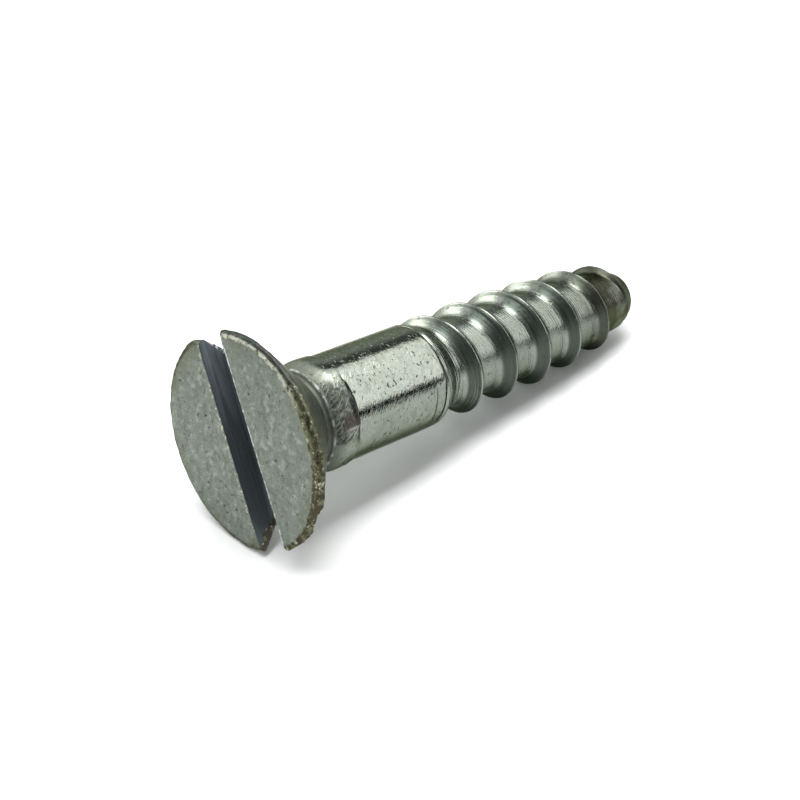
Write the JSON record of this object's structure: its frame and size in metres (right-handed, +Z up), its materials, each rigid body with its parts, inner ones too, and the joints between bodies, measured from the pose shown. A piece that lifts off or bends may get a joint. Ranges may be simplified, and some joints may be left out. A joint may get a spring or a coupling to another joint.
{
  "type": "wood screw",
  "caption": "Slotted countersunk wood screw in zinc-plated steel, with a plain shank, a rounded shoulder under the head, a right-hand rolled thread and a short blunt point.",
  "frame": {"origin": "centre of the head's top face, on the screw's axis, where the driver enters", "axes": "+X along the screw's axis, out of the head; the point is towards -X; +Z up as the screw lies on a bench; +Y completes a right-handed frame. The driver slot runs 30 degrees from +Z towards -Y."},
  "size_m": [0.0182, 0.0068, 0.0068],
  "materials": {
    "zinc_head": "matte zinc plating, finely pitted, with a rusty burr around the rim",
    "zinc_shank": "bright zinc plating with small dark pits",
    "zinc_thread": "zinc plating over a rolled thread, darker and slightly green on the flanks"
  },
  "bodies": {
    "root": {"head": "zinc_head", "neck": "zinc_shank", "shank": "zinc_shank", "thread_runout": "zinc_thread", "core": "zinc_thread", "thread": "zinc_thread", "point": "zinc_thread"}
  },
  "joints": []
}
